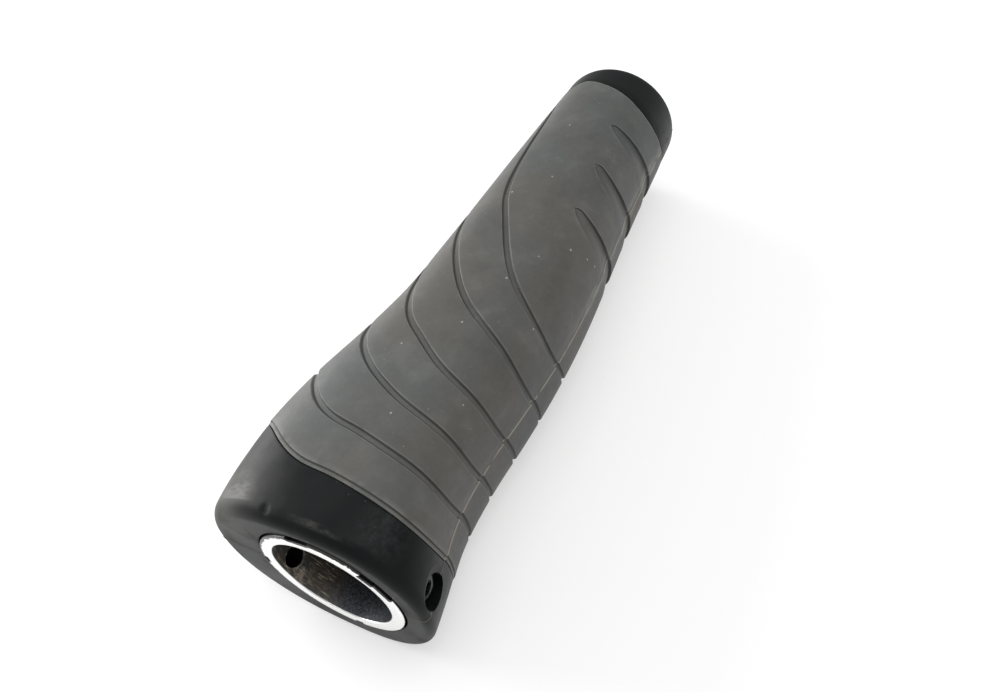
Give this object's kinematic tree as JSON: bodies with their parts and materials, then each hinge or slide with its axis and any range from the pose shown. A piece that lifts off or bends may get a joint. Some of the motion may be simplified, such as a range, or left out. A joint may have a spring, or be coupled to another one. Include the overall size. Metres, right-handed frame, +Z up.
{
  "type": "bicycle handlebar grip",
  "caption": "Winged bicycle handlebar grip: grey rubber moulded over a black core, with an aluminium clamp ring and a grub screw at its wide end.",
  "frame": {"origin": "on the handlebar's axis, in the plane of the clamp ring's end face", "axes": "+X along the bar towards the grip's inner end, +Y to the palm side where the wing is, +Z up, square to the mould's parting plane"},
  "size_m": [0.135, 0.0411, 0.0349],
  "materials": {
    "black_plastic": "fine satin black, a little glossier over the clamp housing",
    "grey_rubber": "matte mid grey with faint mottling",
    "bare_aluminium": "turned, bright end face and brushed bore",
    "dark_steel": "black oxide"
  },
  "bodies": {
    "root": {"core": "black_plastic", "rubber_sleeve": "grey_rubber", "clamp_ring": "bare_aluminium", "grub_screw": "dark_steel"}
  },
  "joints": []
}
